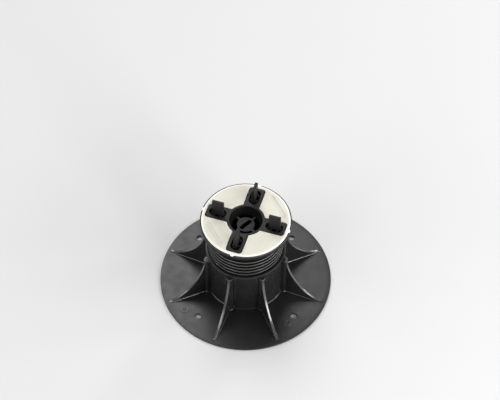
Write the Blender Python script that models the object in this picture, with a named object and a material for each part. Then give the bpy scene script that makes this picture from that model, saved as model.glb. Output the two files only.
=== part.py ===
"""Decking pedestal with a screw jack and a swivel head, built piece by piece.

A round base carries a ribbed tube. A threaded sleeve turns in the tube and so
rises and falls. A ball socket rides on the sleeve and the head tilts in it.
Lengths are in metres, Z is up and the floor is at zero.
"""

import math

import bmesh
import bpy
from mathutils import Matrix, Vector

# General sizes
GAP = 0.0003
BALL_GAP = 0.0004
SEG_BASE = 64
SEG_SCREW = 40
SEG_HEAD = 48
SEG_BOWL = 32
SEG_SMALL = 16
SINK = 0.0004
OVER = 0.0010

# Base plate, tube and ribs
PLATE_R = 0.100
PLATE_T = 0.0027
RIM_BAND = 0.0055
RIM_FALL = 0.0005
RIM_ROUND = 0.0004
TUBE_OUT = 0.0459
TUBE_WALL = 0.0025
TUBE_TOP = 0.0661
TUBE_EDGE = 0.0005
FOOT_FILLET = 0.0010
DRAIN_R = 0.008
RIB_COUNT = 8
RIB_FIRST = math.radians(22.5)
RIB_THICK = 0.0027
RIB_FLARE = 0.0008
RIB_TIP_IN = 0.0045
RIB_TIP_R = PLATE_R - RIB_TIP_IN
RIB_TIP_TALL = 0.0011
RIB_ROOT_OFF = 0.0048
RIB_ROOT_R = TUBE_OUT + RIB_ROOT_OFF
RIB_ROOT_DOWN = 0.0056
RIB_ROOT_Z = TUBE_TOP - RIB_ROOT_DOWN
RIB_POWER = 1.66
RIB_STEPS = 12
COLUMN_R = 0.0039
COLUMN_OFF = 0.0013
COLUMN_AT = TUBE_OUT + COLUMN_OFF
COLUMN_DOWN = 0.0021
COLUMN_TOP = TUBE_TOP - COLUMN_DOWN
COLUMN_EDGE = 0.0005
HOLE_IN = 0.0221
HOLE_AT = PLATE_R - HOLE_IN
HOLE_R = 0.0034
HOLE_COUNT = 4
MARK_R = 0.0040
MARK_WIDE = 0.0007
MARK_RISE = 0.0004
LEFT_MARK_IN = 0.0153
RIGHT_MARK_IN = 0.0190
MARKS = (
    (PLATE_R - LEFT_MARK_IN, math.radians(-146.6)),
    (PLATE_R - RIGHT_MARK_IN, math.radians(-53.8)),
)

# Thread that the tube and the sleeve share
PITCH = 0.0057
THREAD_FIT = 0.00035
CREST_ROOM = 0.0005
CREST_R = TUBE_OUT - TUBE_WALL - CREST_ROOM
THREAD_DEEP = 0.0020
ROOT_R = CREST_R - THREAD_DEEP
CREST_WIDE = 0.0017
FLANK = 0.0008
GROOVE_WIDE = PITCH - CREST_WIDE - 2.0 * FLANK
THREAD_START = 0.0680
SLEEVE_TURNS = 8.5
SLEEVE_TURNS_BELOW = 4.0
TUBE_TURNS = 3.0
TUBE_TURNS_BELOW = 5.0
FADE_PARTS = 6

# Heights at which the jack stands in the picture
HEAD_TOP = 0.1150
TRAVEL_DOWN = 0.0385
SLEEVE_LOW = PLATE_T + GAP + TRAVEL_DOWN
SLEEVE_TOP = 0.1010
SLEEVE_WALL = 0.0023
SLEEVE_IN = ROOT_R - SLEEVE_WALL

# Ball joint under the head
PIVOT_Z = 0.1040
BALL_WALL = 0.0020
LINER_T = 0.0012
SOCKET_WALL = 0.0022
SPIGOT_WALL = 0.0018
SPIGOT_DEEP = 0.0060
SPIGOT_ROOM = 0.0033
FLANGE_T = 0.0020
SOCKET_OUT = SLEEVE_IN - GAP - SPIGOT_WALL - SPIGOT_ROOM
SOCKET_IN = SOCKET_OUT - SOCKET_WALL
LINER_OUT = SOCKET_IN - BALL_GAP
LINER_IN = LINER_OUT - LINER_T
BALL_R = LINER_IN - BALL_GAP
BALL_MOUTH = 0.74 * BALL_R
LINER_MOUTH = 0.78 * BALL_R
SOCKET_MOUTH = 0.71 * BALL_R
BALL_FLANGE = 0.0026
BALL_FLANGE_T = 0.0016
WEB_ROOM = 0.0007
WEB_TOP = PIVOT_Z - math.sqrt(SOCKET_OUT ** 2 - SOCKET_MOUTH ** 2) - WEB_ROOM
WEB_T = 0.0025

# Cup in the head and the key hub at its foot
CUP_R = 0.648 * BALL_R
CUP_DEEP = 0.0090
CUP_FOOT_R = 0.824 * CUP_R
HUB_PLAY = 0.0006
HUB_R = CUP_FOOT_R - HUB_PLAY
HUB_T = 0.0018
DISC_R = 0.678 * HUB_R
SPOKE = 0.0030
STEM_INSET = 0.0002
STEM_R = DISC_R - STEM_INSET
STEM_WALL = 0.0016
STEM_DEEP = 0.0060
BOSS_WALL = 0.0030
SLOT_LONG = 1.08 * HUB_R
SLOT_WIDE = 0.0048
SLOT_CORNER = 0.0016
HUB_TURN = math.radians(43.0)
KEY_WIDE = 0.0026
KEY_OUT = 0.0016

# Head plate
HEAD_TURN = math.radians(-18.0)
HEAD_OVERHANG = 0.0055
HEAD_R = TUBE_OUT + HEAD_OVERHANG
HEAD_T = 0.0024
LIP_WIDE = 0.0011
LIP_DROP = 0.0008
LIP_EDGE = 0.0003
PAD_T = 0.0023
CROSS_DROP = 0.0002
SKIRT_T = 0.0020
SKIRT_TALL = 0.0062
SKIRT_LOW = HEAD_TOP - SKIRT_TALL
CUP_WALL = 0.0019
CUP_BELOW = 0.0035
CUP_LOW = PIVOT_Z - CUP_BELOW
RING_R = CUP_R + CUP_WALL
PAD_R = HEAD_R - LIP_WIDE - GAP
ARM_HALF = 0.0086
ARM_SHORT = 0.0046
ARM_REACH = PAD_R - ARM_SHORT
ARM_CORNER = 0.0028
POCKET_IN = 0.0025
POCKET_NEAR = RING_R + POCKET_IN
POCKET_OUT = 0.0024
POCKET_FAR = ARM_REACH - POCKET_OUT
POCKET_LONG = POCKET_FAR - POCKET_NEAR
POCKET_AT = (POCKET_FAR + POCKET_NEAR) / 2.0
POCKET_WIDE = 0.0110
POCKET_DEEP = 0.0045
POCKET_WALL = 0.0015

# Soft pad
PAD_GAP = 0.0008
PAD_EDGE = 0.0005
NUB_WIDE = 0.0044
NUB_LONG = 0.0040
NUB_CORNER = 0.0016
NUB_DROP = 0.0002
NUB_T = 0.0012
NOTCH_ROOM = 0.0003
RECESS_LONG = 0.69 * PAD_R
RECESS_WIDE = 0.0050
RECESS_IN = 0.0100
RECESS_AT = PAD_R - RECESS_IN
RECESS_DEEP = 0.0006

# Spacer tab
TAB_LONG = 0.70 * POCKET_LONG
TAB_THICK = 0.0036
TAB_TIP = 0.0032
TAB_TALL = 0.0238
TAB_EDGE = 0.0005
FOOT_PLAY = 0.0011
FOOT_LONG = POCKET_LONG - 2.0 * FOOT_PLAY
FOOT_SIDE = 0.0009
FOOT_WIDE = POCKET_WIDE - 2.0 * FOOT_SIDE
FOOT_T = 0.0014
PIN_R = 0.0012
PIN_TALL = 0.0024
PIN_APART = 0.55 * TAB_LONG
PIN_SIDE = 0.0030
SHIFT = FOOT_PLAY / 2.0
TABS = (("right", SHIFT), ("back", -SHIFT), ("left", -SHIFT), ("front", -SHIFT))


def clear_scene():
    """Take out whatever a new scene starts with."""
    for old in list(bpy.data.objects):
        bpy.data.objects.remove(old, do_unlink=True)


def material(name, colour, rough):
    """One plain plastic."""
    made = bpy.data.materials.new(name)
    made.use_nodes = True
    shader = made.node_tree.nodes["Principled BSDF"]
    shader.inputs["Base Color"].default_value = (*colour, 1.0)
    shader.inputs["Roughness"].default_value = rough
    shader.inputs["Metallic"].default_value = 0.0
    return made


def to_object(name, mesh_data, origin=(0.0, 0.0, 0.0), turn=0.0):
    """A named object whose mesh keeps its place while its origin moves."""
    place = Matrix.Translation(Vector(origin)) @ Matrix.Rotation(turn, 4, "Z")
    bmesh.ops.transform(mesh_data, matrix=place.inverted(), verts=mesh_data.verts)
    bmesh.ops.recalc_face_normals(mesh_data, faces=mesh_data.faces)
    mesh = bpy.data.meshes.new(name)
    mesh_data.to_mesh(mesh)
    mesh_data.free()
    made = bpy.data.objects.new(name, mesh)
    made.location = origin
    made.rotation_euler = (0.0, 0.0, turn)
    bpy.context.scene.collection.objects.link(made)
    return made


def spin(profile, seg, ring=True):
    """A solid of revolution; a point on the axis becomes one vertex."""
    body = bmesh.new()
    rows = []
    for radius, height in profile:
        if radius < 1e-9:
            rows.append([body.verts.new((0.0, 0.0, height))] * seg)
            continue
        row = []
        for step in range(seg):
            a = 2.0 * math.pi * step / seg
            row.append(body.verts.new((radius * math.cos(a), radius * math.sin(a), height)))
        rows.append(row)
    pairs = list(zip(rows, rows[1:]))
    if ring:
        pairs.append((rows[-1], rows[0]))
    for low, high in pairs:
        for step in range(seg):
            after = (step + 1) % seg
            corners = []
            for v in (low[step], low[after], high[after], high[step]):
                if v not in corners:
                    corners.append(v)
            if len(corners) > 2:
                body.faces.new(corners)
    bmesh.ops.recalc_face_normals(body, faces=body.faces)
    return body


def prism(outline, low, high):
    """A flat outline raised from one height to another."""
    body = bmesh.new()
    bottom = [body.verts.new((x, y, low)) for x, y in outline]
    top = [body.verts.new((x, y, high)) for x, y in outline]
    count = len(outline)
    body.faces.new(list(reversed(bottom)))
    body.faces.new(top)
    for i in range(count):
        j = (i + 1) % count
        body.faces.new((bottom[i], bottom[j], top[j], top[i]))
    bmesh.ops.recalc_face_normals(body, faces=body.faces)
    return body


def circle(radius, seg, x=0.0, y=0.0):
    """Corner points of a round outline."""
    points = []
    for step in range(seg):
        a = 2.0 * math.pi * step / seg
        points.append((x + radius * math.cos(a), y + radius * math.sin(a)))
    return points


def arc(cx, cy, radius, start, end, steps):
    """Points along an arc, both ends included."""
    points = []
    for i in range(steps + 1):
        a = start + (end - start) * i / steps
        points.append((cx + radius * math.cos(a), cy + radius * math.sin(a)))
    return points


def round_box(long, wide, corner, steps, cx=0.0, cy=0.0):
    """A rectangle with round corners; a corner of half the width makes a stadium."""
    half_long = long / 2.0 - corner
    half_wide = wide / 2.0 - corner
    quarter = math.pi / 2.0
    points = arc(cx + half_long, cy + half_wide, corner, 0.0, quarter, steps)
    points += arc(cx - half_long, cy + half_wide, corner, quarter, 2.0 * quarter, steps)
    points += arc(cx - half_long, cy - half_wide, corner, 2.0 * quarter, 3.0 * quarter, steps)
    points += arc(cx + half_long, cy - half_wide, corner, 3.0 * quarter, 4.0 * quarter, steps)
    kept = []
    for p in points:
        if not kept or math.dist(p, kept[-1]) > 1e-6:
            kept.append(p)
    if math.dist(kept[0], kept[-1]) < 1e-6:
        kept.pop()
    return kept


def cross_outline(grow):
    """The head's four arms and the ring round its cup, grown by a gap."""
    half = ARM_HALF + grow
    reach = ARM_REACH + grow
    corner = ARM_CORNER + grow
    ring = RING_R + grow
    meet = math.asin(half / ring)
    points = []
    for arm in range(4):
        turn = arm * math.pi / 2.0
        local = arc(reach - corner, -half + corner, corner, -math.pi / 2.0, 0.0, 4)
        local += arc(reach - corner, half - corner, corner, 0.0, math.pi / 2.0, 4)
        local += arc(0.0, 0.0, ring, meet, math.pi / 2.0 - meet, 5)
        c, s = math.cos(turn), math.sin(turn)
        points += [(c * x - s * y, s * x + c * y) for x, y in local]
    return points


def turned(body, angle, shift=(0.0, 0.0, 0.0)):
    """Move a body by a shift, then turn it about the vertical axis."""
    place = Matrix.Rotation(angle, 4, "Z") @ Matrix.Translation(Vector(shift))
    bmesh.ops.transform(body, matrix=place, verts=body.verts)
    return body


def gather(bodies):
    """Several separate bodies as one mesh."""
    whole = bmesh.new()
    for body in bodies:
        part = bpy.data.meshes.new("piece")
        body.to_mesh(part)
        body.free()
        whole.from_mesh(part)
        bpy.data.meshes.remove(part)
    return whole


def combine(target, body, how):
    """Join or cut one solid with another and keep the result as plain mesh."""
    tool = to_object("tool", body)
    step = target.modifiers.new(how.lower(), "BOOLEAN")
    step.operation = how
    step.solver = "EXACT"
    step.object = tool
    bpy.context.view_layer.update()
    graph = bpy.context.evaluated_depsgraph_get()
    mesh = bpy.data.meshes.new_from_object(target.evaluated_get(graph))
    target.modifiers.clear()
    old = target.data
    mesh.name = target.name
    target.data = mesh
    bpy.data.meshes.remove(old)
    spare = tool.data
    bpy.data.objects.remove(tool, do_unlink=True)
    bpy.data.meshes.remove(spare)
    tidy = bmesh.new()
    tidy.from_mesh(target.data)
    bmesh.ops.remove_doubles(tidy, verts=tidy.verts, dist=2e-6)
    bmesh.ops.dissolve_degenerate(tidy, edges=tidy.edges, dist=1e-6)
    tidy.to_mesh(target.data)
    tidy.free()


def settle(made, stuff, origin, turn, sharp=35.0):
    """Give a finished piece its material, its origin and its smooth faces."""
    place = Matrix.Translation(Vector(origin)) @ Matrix.Rotation(turn, 4, "Z")
    made.data.transform(place.inverted() @ made.matrix_basis)
    made.location = origin
    made.rotation_euler = (0.0, 0.0, turn)
    made.data.materials.clear()
    made.data.materials.append(stuff)
    for face in made.data.polygons:
        face.use_smooth = True
    made.data.set_sharp_from_angle(angle=math.radians(sharp))


# Thread surfaces

def thread_wall(body, seg, flat_r, ridge_r, low, turns, section):
    """A wall with a helical ridge that fades out at both ends.

    The section runs over one pitch as (height, part of the ridge). The wall
    is one strip wound round and round, and its edges are welded turn to turn.
    Gives back the rows of vertices along the lower and the upper edge.
    """
    steps = int(round(seg * turns))
    fade = seg // FADE_PARTS
    grid = []
    for i in range(steps + 1):
        a = 2.0 * math.pi * i / seg
        swell = min(1.0, i / fade, (steps - i) / fade)
        swell = max(0.0, swell)
        row = []
        for k, (height, share) in enumerate(section):
            if k == 0 and i >= seg:
                row.append(grid[i - seg][-1])
                continue
            r = flat_r + (ridge_r - flat_r) * share * swell
            z = low + PITCH * i / seg + height
            row.append(body.verts.new((r * math.cos(a), r * math.sin(a), z)))
        grid.append(row)
    for i in range(steps):
        for k in range(len(section) - 1):
            corners = (grid[i][k], grid[i + 1][k], grid[i + 1][k + 1], grid[i][k + 1])
            body.faces.new(corners)
    return grid, steps


def close_low(body, grid, seg, circle_row):
    """Fill from the wound strip's first turn down to a level ring."""
    for i in range(seg - 1):
        j = i + 1
        body.faces.new((grid[i][0], circle_row[i], circle_row[j], grid[j][0]))
    last = [grid[seg - 1][0], circle_row[seg - 1], circle_row[0]]
    last += grid[0]
    body.faces.new(last)


def close_high(body, grid, steps, seg, circle_row):
    """Fill from the wound strip's last turn up to a level ring."""
    start = steps - seg
    for n in range(seg - 1):
        i = start + n
        a = i % seg
        b = (i + 1) % seg
        if n == 0:
            corners = list(reversed(grid[steps]))
            corners.append(grid[i + 1][-1])
            corners += [circle_row[b], circle_row[a]]
            body.faces.new(corners)
            continue
        body.faces.new((grid[i][-1], grid[i + 1][-1], circle_row[b], circle_row[a]))
    i = steps - 1
    a = i % seg
    b = (i + 1) % seg
    body.faces.new((grid[i][-1], grid[steps][-1], circle_row[b], circle_row[a]))


def ring_row(body, seg, radius, height):
    """One level ring of vertices."""
    row = []
    for step in range(seg):
        a = 2.0 * math.pi * step / seg
        row.append(body.verts.new((radius * math.cos(a), radius * math.sin(a), height)))
    return row


def join_rows(body, rows):
    """Bridge level rings one after another."""
    for low, high in zip(rows, rows[1:]):
        seg = len(low)
        for step in range(seg):
            after = (step + 1) % seg
            body.faces.new((low[step], low[after], high[after], high[step]))


# Base

def rib_height(radius):
    """Top edge of a rib: a hollow quarter curve from the tube to the rim."""
    low = PLATE_T + RIB_TIP_TALL
    along = (RIB_TIP_R - radius) / (RIB_TIP_R - RIB_ROOT_R)
    along = min(1.0, max(0.0, along))
    fall = (1.0 - along ** RIB_POWER) ** (1.0 / RIB_POWER)
    return low + (RIB_ROOT_Z - low) * (1.0 - fall)


def rib():
    """One thin rib with a flared foot, along +X."""
    body = bmesh.new()
    start = COLUMN_AT
    clear = COLUMN_AT + COLUMN_R * 0.9
    rows = []
    for i in range(RIB_STEPS + 1):
        share = i / RIB_STEPS
        radius = start + (RIB_TIP_R - start) * (0.55 * share + 0.45 * share * share)
        top = rib_height(max(radius, clear))
        lift = min(1.0, (top - PLATE_T) / (2.0 * RIB_FLARE))
        half = RIB_THICK / 2.0
        foot = half + RIB_FLARE * lift
        shoulder = PLATE_T + RIB_FLARE * lift
        bottom = PLATE_T - RIM_FALL - SINK
        row = []
        for side, height in (
            (-foot, bottom),
            (-foot, PLATE_T),
            (-half, shoulder),
            (-half, top),
            (half, top),
            (half, shoulder),
            (foot, PLATE_T),
            (foot, bottom),
        ):
            row.append(body.verts.new((radius, side, height)))
        rows.append(row)
    for low, high in zip(rows, rows[1:]):
        width = len(low)
        for k in range(width):
            after = (k + 1) % width
            body.faces.new((low[k], low[after], high[after], high[k]))
    body.faces.new(list(reversed(rows[0])))
    body.faces.new(rows[-1])
    bmesh.ops.recalc_face_normals(body, faces=body.faces)
    return body


def column():
    """Round boss at a rib's root, flat on top."""
    profile = [
        (0.0, PLATE_T - SINK),
        (COLUMN_R + RIB_FLARE + SINK, PLATE_T - SINK),
        (COLUMN_R, PLATE_T + RIB_FLARE),
        (COLUMN_R, COLUMN_TOP - COLUMN_EDGE),
        (COLUMN_R - COLUMN_EDGE, COLUMN_TOP),
        (0.0, COLUMN_TOP),
    ]
    return turned(spin(profile, SEG_SMALL, ring=False), 0.0, (COLUMN_AT, 0.0, 0.0))


def build_base(stuff):
    """Plate, tube with its inner thread, columns, ribs and fixing holes."""
    bore = TUBE_OUT - TUBE_WALL
    ridge_in = ROOT_R + THREAD_FIT
    widen = FLANK * (bore - ridge_in) / THREAD_DEEP
    tip = GROOVE_WIDE + 2.0 * FLANK * (ridge_in - ROOT_R) / THREAD_DEEP - 2.0 * THREAD_FIT
    flat = PITCH - tip - 2.0 * widen
    groove = THREAD_START + CREST_WIDE / 2.0 + FLANK + PITCH / 2.0
    low = groove - PITCH * TUBE_TURNS_BELOW - tip / 2.0 - widen
    section = (
        (0.0, 0.0),
        (widen, 1.0),
        (widen + tip, 1.0),
        (2.0 * widen + tip, 0.0),
        (2.0 * widen + tip + flat, 0.0),
    )
    body = bmesh.new()
    grid, steps = thread_wall(body, SEG_BASE, bore, ridge_in, low, TUBE_TURNS, section)
    above = ring_row(body, SEG_BASE, bore, TUBE_TOP - TUBE_EDGE)
    close_high(body, grid, steps, SEG_BASE, above)
    under = ring_row(body, SEG_BASE, bore, low - OVER)
    close_low(body, grid, SEG_BASE, under)
    outside = [
        (bore + TUBE_EDGE, TUBE_TOP),
        (TUBE_OUT, TUBE_TOP),
        (TUBE_OUT, PLATE_T + FOOT_FILLET),
        (TUBE_OUT + FOOT_FILLET * 0.29, PLATE_T + FOOT_FILLET * 0.29),
        (TUBE_OUT + FOOT_FILLET, PLATE_T),
        (PLATE_R - RIM_BAND, PLATE_T),
        (PLATE_R - RIM_ROUND, PLATE_T - RIM_FALL),
        (PLATE_R, PLATE_T - RIM_FALL - RIM_ROUND),
        (PLATE_R, 0.0),
        (DRAIN_R, 0.0),
        (DRAIN_R, PLATE_T),
        (bore, PLATE_T),
    ]
    rows = [above]
    for radius, height in outside:
        rows.append(ring_row(body, SEG_BASE, radius, height))
    rows.append(under)
    join_rows(body, rows)
    base = to_object("ribbed_base", body)
    step = 2.0 * math.pi / RIB_COUNT
    first = RIB_FIRST - math.pi / 2.0
    bosses = [turned(column(), first + step * n) for n in range(RIB_COUNT)]
    combine(base, gather(bosses), "UNION")
    ribs = [turned(rib(), first + step * n) for n in range(RIB_COUNT)]
    combine(base, gather(ribs), "UNION")
    holes = []
    for n in range(HOLE_COUNT):
        a = (n + 0.5) * 2.0 * math.pi / HOLE_COUNT
        outline = circle(HOLE_R, SEG_SMALL, HOLE_AT * math.cos(a), HOLE_AT * math.sin(a))
        holes.append(prism(outline, -OVER, PLATE_T + OVER))
    combine(base, gather(holes), "DIFFERENCE")
    rings = []
    for radius, angle in MARKS:
        profile = [
            (MARK_R - MARK_WIDE, PLATE_T - SINK),
            (MARK_R, PLATE_T - SINK),
            (MARK_R, PLATE_T + MARK_RISE),
            (MARK_R - MARK_WIDE, PLATE_T + MARK_RISE),
        ]
        rings.append(turned(spin(profile, SEG_SMALL), angle, (radius, 0.0, 0.0)))
    combine(base, gather(rings), "UNION")
    settle(base, stuff, (0.0, 0.0, 0.0), 0.0)
    return base


# Jack screw

def build_sleeve(stuff):
    """Threaded sleeve, closed by a web that takes the key hub's stem."""
    section = (
        (0.0, 0.0),
        (FLANK, 1.0),
        (FLANK + CREST_WIDE, 1.0),
        (2.0 * FLANK + CREST_WIDE, 0.0),
        (PITCH, 0.0),
    )
    low = THREAD_START - SLEEVE_TURNS_BELOW * PITCH
    body = bmesh.new()
    grid, steps = thread_wall(body, SEG_SCREW, ROOT_R, CREST_R, low, SLEEVE_TURNS, section)
    above = ring_row(body, SEG_SCREW, ROOT_R, SLEEVE_TOP)
    close_high(body, grid, steps, SEG_SCREW, above)
    under = ring_row(body, SEG_SCREW, ROOT_R, SLEEVE_LOW)
    close_low(body, grid, SEG_SCREW, under)
    bore = STEM_R + GAP
    boss = bore + BOSS_WALL
    foot = WEB_TOP - WEB_T - STEM_DEEP
    inside = [
        (SLEEVE_IN, SLEEVE_TOP),
        (SLEEVE_IN, WEB_TOP),
        (boss, WEB_TOP),
        (bore, WEB_TOP),
        (bore, foot),
        (boss, foot),
        (boss, WEB_TOP - WEB_T),
        (SLEEVE_IN, WEB_TOP - WEB_T),
        (SLEEVE_IN, SLEEVE_LOW),
    ]
    rows = [above]
    for radius, height in inside:
        rows.append(ring_row(body, SEG_SCREW, radius, height))
    rows.append(under)
    join_rows(body, rows)
    sleeve = to_object("threaded_sleeve", body)
    slots = []
    for n in range(4):
        outline = round_box(2.0 * (KEY_OUT + GAP + OVER), KEY_WIDE + 2.0 * GAP, GAP, 1)
        cut = prism(outline, foot - OVER, WEB_TOP + OVER)
        shift = (bore - OVER, 0.0, 0.0)
        slots.append(turned(cut, HUB_TURN + n * math.pi / 2.0, shift))
    combine(sleeve, gather(slots), "DIFFERENCE")
    settle(sleeve, stuff, (0.0, 0.0, 0.0), 0.0)
    return sleeve


def build_hub(stuff):
    """Slotted disc on four spokes, with a stem keyed into the sleeve."""
    top = HEAD_TOP - CUP_DEEP
    stem_in = STEM_R - STEM_WALL
    foot = WEB_TOP - WEB_T - STEM_DEEP
    profile = [
        (0.0, top),
        (HUB_R, top),
        (HUB_R, top - HUB_T),
        (STEM_R, top - HUB_T),
        (STEM_R, foot),
        (stem_in, foot),
        (stem_in, top - HUB_T),
        (0.0, top - HUB_T),
    ]
    hub = to_object("key_hub", spin(profile, SEG_BOWL, ring=False))
    windows = []
    half = SPOKE / 2.0
    for n in range(4):
        reach = HUB_R + OVER
        outer_a = math.asin(half / reach)
        inner_a = math.asin(half / DISC_R)
        outline = arc(0.0, 0.0, reach, outer_a, math.pi / 2.0 - outer_a, 6)
        outline += arc(0.0, 0.0, DISC_R, math.pi / 2.0 - inner_a, inner_a, 5)
        cut = prism(outline, top - HUB_T - OVER, top + OVER)
        windows.append(turned(cut, HUB_TURN + n * math.pi / 2.0))
    combine(hub, gather(windows), "DIFFERENCE")
    outline = round_box(SLOT_LONG, SLOT_WIDE, SLOT_CORNER, 3)
    slot = prism(outline, top - HUB_T - OVER, top + OVER)
    combine(hub, turned(slot, HUB_TURN), "DIFFERENCE")
    keys = []
    for n in range(4):
        outline = round_box(KEY_OUT + SINK, KEY_WIDE, GAP, 1)
        key = prism(outline, foot + GAP, WEB_TOP + OVER)
        shift = (STEM_R + (KEY_OUT - SINK) / 2.0, 0.0, 0.0)
        keys.append(turned(key, HUB_TURN + n * math.pi / 2.0, shift))
    combine(hub, gather(keys), "UNION")
    settle(hub, stuff, (0.0, 0.0, 0.0), 0.0)
    return hub


# Ball joint

def bowl(outer, inner, mouth, rim_z, steps):
    """Section of a bowl-shaped shell about the pivot, from its mouth to a level rim."""
    points = []
    low_a = math.acos(mouth / outer)
    high_a = math.asin((PIVOT_Z - rim_z) / outer)
    for i in range(steps + 1):
        a = low_a + (high_a - low_a) * i / steps
        points.append((outer * math.cos(a), PIVOT_Z - outer * math.sin(a)))
    high_a = math.asin((PIVOT_Z - rim_z) / inner)
    low_in = math.asin((PIVOT_Z - points[0][1]) / outer)
    for i in range(steps + 1):
        a = high_a + (low_in - high_a) * i / steps
        points.append((inner * math.cos(a), PIVOT_Z - inner * math.sin(a)))
    return points


def build_socket(stuff):
    """Bowl that rides on the sleeve's top rim and turns freely in it."""
    flange = SLEEVE_TOP + GAP
    reach = ROOT_R - GAP
    steps = 4
    rim = flange + FLANGE_T
    shell = bowl(SOCKET_OUT, SOCKET_IN, SOCKET_MOUTH, rim, steps)
    inner = shell[steps + 1:]
    spigot_low = flange - SPIGOT_DEEP
    spigot_r = SLEEVE_IN - GAP
    roof = flange - SPIGOT_WALL
    profile = [p for p in shell[:steps + 1] if p[1] < spigot_low]
    for z in ((spigot_low + roof) / 2.0, roof):
        profile.append((math.sqrt(SOCKET_OUT ** 2 - (PIVOT_Z - z) ** 2), z))
    profile += [
        (spigot_r - SPIGOT_WALL, roof),
        (spigot_r - SPIGOT_WALL, spigot_low),
        (spigot_r, spigot_low),
        (spigot_r, flange),
        (reach, flange),
        (reach, rim),
    ]
    profile += inner
    made = to_object("swivel_socket", spin(profile, SEG_BOWL))
    settle(made, stuff, (0.0, 0.0, PIVOT_Z), 0.0)
    return made


def build_liner(stuff):
    """Thin glide liner between the socket and the ball cup."""
    profile = bowl(LINER_OUT, LINER_IN, LINER_MOUTH, PIVOT_Z - LINER_T, 4)
    made = to_object("glide_liner", spin(profile, SEG_BOWL))
    settle(made, stuff, (0.0, 0.0, PIVOT_Z), 0.0)
    return made


def build_ball(stuff):
    """Ball cup under the head plate, with a flange clipped to the plate."""
    inner = BALL_R - BALL_WALL
    top = SKIRT_LOW - GAP
    steps = 5
    shell = bowl(BALL_R, inner, BALL_MOUTH, PIVOT_Z, steps)
    profile = shell[:steps + 1]
    profile += [
        (BALL_R, top - BALL_FLANGE_T),
        (BALL_R + BALL_FLANGE, top - BALL_FLANGE_T),
        (BALL_R + BALL_FLANGE, top),
        (inner, top),
    ]
    profile += shell[steps + 1:]
    made = to_object("ball_cup", spin(profile, SEG_BOWL))
    settle(made, stuff, (0.0, 0.0, PIVOT_Z), HEAD_TURN)
    return made


# Head

def build_head(stuff):
    """Head plate: cross, pockets, tapering cup, rim skirt and pad seat."""
    cross_top = HEAD_TOP - CROSS_DROP
    seat = HEAD_TOP - PAD_T - GAP
    under = seat - HEAD_T
    lip_top = HEAD_TOP - LIP_DROP
    cup_foot = HEAD_TOP - CUP_DEEP
    profile = [
        (CUP_R, cross_top),
        (PAD_R - 2.0 * LIP_EDGE, cross_top),
        (PAD_R - LIP_EDGE, lip_top),
        (HEAD_R - LIP_EDGE, lip_top),
        (HEAD_R, lip_top - LIP_EDGE),
        (HEAD_R, SKIRT_LOW),
        (HEAD_R - SKIRT_T, SKIRT_LOW),
        (HEAD_R - SKIRT_T, under),
        (RING_R, under),
        (CUP_FOOT_R + CUP_WALL, cup_foot),
        (CUP_FOOT_R + CUP_WALL, CUP_LOW),
        (CUP_FOOT_R, CUP_LOW),
        (CUP_FOOT_R, cup_foot),
    ]
    head = to_object("head_plate", spin(profile, SEG_HEAD))
    blocks = []
    for n in range(4):
        long = POCKET_LONG + 2.0 * POCKET_WALL
        wide = POCKET_WIDE + 2.0 * POCKET_WALL
        outline = round_box(long, wide, wide / 2.0, 5, POCKET_AT, 0.0)
        blocks.append(turned(prism(outline, SKIRT_LOW, under + SINK), n * math.pi / 2.0))
    combine(head, gather(blocks), "UNION")
    field = prism(circle(HEAD_R - LIP_WIDE, SEG_HEAD), seat, HEAD_TOP + OVER)
    space = to_object("space", field)
    cross = prism(cross_outline(0.0), seat - OVER, HEAD_TOP + 2.0 * OVER)
    combine(space, cross, "DIFFERENCE")
    seat_cut = bmesh.new()
    seat_cut.from_mesh(space.data)
    bpy.data.objects.remove(space, do_unlink=True)
    combine(head, seat_cut, "DIFFERENCE")
    pockets = []
    for n in range(4):
        outline = round_box(POCKET_LONG, POCKET_WIDE, POCKET_WIDE / 2.0, 5, POCKET_AT, 0.0)
        cut = prism(outline, cross_top - POCKET_DEEP, HEAD_TOP + OVER)
        pockets.append(turned(cut, n * math.pi / 2.0))
    combine(head, gather(pockets), "DIFFERENCE")
    notches = []
    notch_low = HEAD_TOP - NUB_DROP - NUB_T - GAP
    for n in range(4):
        wide = NUB_WIDE + 2.0 * NOTCH_ROOM
        outline = round_box(NUB_LONG, wide, GAP, 1, HEAD_R - NUB_LONG / 2.0 + OVER, 0.0)
        notches.append(turned(prism(outline, notch_low, HEAD_TOP + OVER), n * math.pi / 2.0))
    combine(head, gather(notches), "DIFFERENCE")
    head.data.transform(Matrix.Rotation(HEAD_TURN, 4, "Z"))
    settle(head, stuff, (0.0, 0.0, PIVOT_Z), HEAD_TURN)
    return head


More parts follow.
